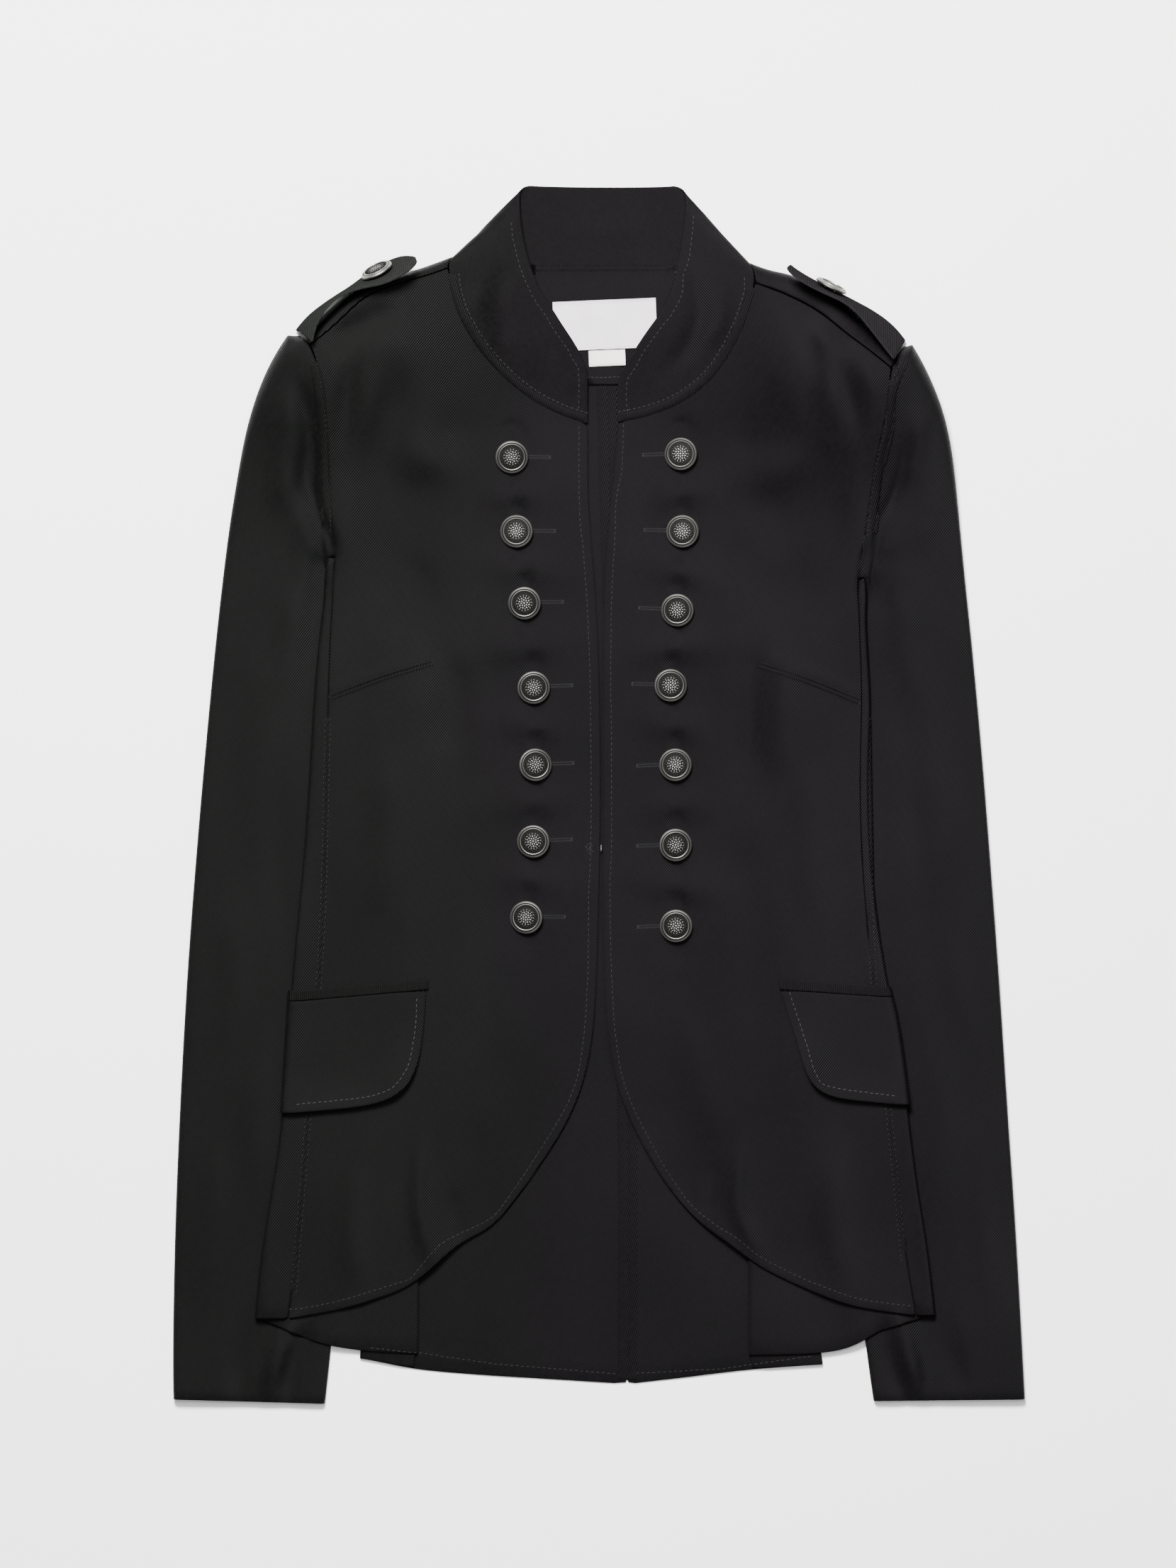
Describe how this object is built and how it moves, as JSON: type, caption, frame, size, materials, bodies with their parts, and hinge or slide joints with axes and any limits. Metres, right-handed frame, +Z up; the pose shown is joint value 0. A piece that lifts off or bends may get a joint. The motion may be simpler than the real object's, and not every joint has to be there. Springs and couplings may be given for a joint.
{
  "type": "military jacket",
  "caption": "Tailored military jacket with stand collar, double-breasted metal buttons, shoulder straps and cutaway front, laid flat on its back.",
  "frame": {"origin": "centre of the jacket's outline, on the surface it lies on", "axes": "+Z up out of the jacket's front, +Y from the hem to the collar, +X to the wearer's left"},
  "size_m": [0.5046, 0.7214, 0.0387],
  "materials": {
    "black_twill": "near-black cotton twill with a fine diagonal weave, matt",
    "old_silver": "antique silver metal with darkened recesses",
    "label_satin": "pale woven satin label",
    "tab_tape": "off-white woven tape",
    "hook_wire": "small bright wire hook"
  },
  "bodies": {
    "root": {"front_right": "black_twill", "side_back_right": "black_twill", "centre_back_right": "black_twill", "sleeve_right": "black_twill", "pocket_flap_right": "black_twill", "pocket_welt_right": "black_twill", "shoulder_strap_right": "black_twill", "button_right_1": "old_silver", "button_right_2": "old_silver", "button_right_3": "old_silver", "button_right_4": "old_silver", "button_right_5": "old_silver", "button_right_6": "old_silver", "button_right_7": "old_silver", "button_strap_right": "old_silver", "front_left": "black_twill", "side_back_left": "black_twill", "centre_back_left": "black_twill", "sleeve_left": "black_twill", "pocket_flap_left": "black_twill", "pocket_welt_left": "black_twill", "shoulder_strap_left": "black_twill", "button_left_1": "old_silver", "button_left_2": "old_silver", "button_left_3": "old_silver", "button_left_4": "old_silver", "button_left_5": "old_silver", "button_left_6": "old_silver", "button_left_7": "old_silver", "button_strap_left": "old_silver", "collar": "black_twill", "back_neck_facing": "black_twill", "label": "label_satin", "size_tab": "tab_tape", "waist_hook": "hook_wire"}
  },
  "joints": []
}
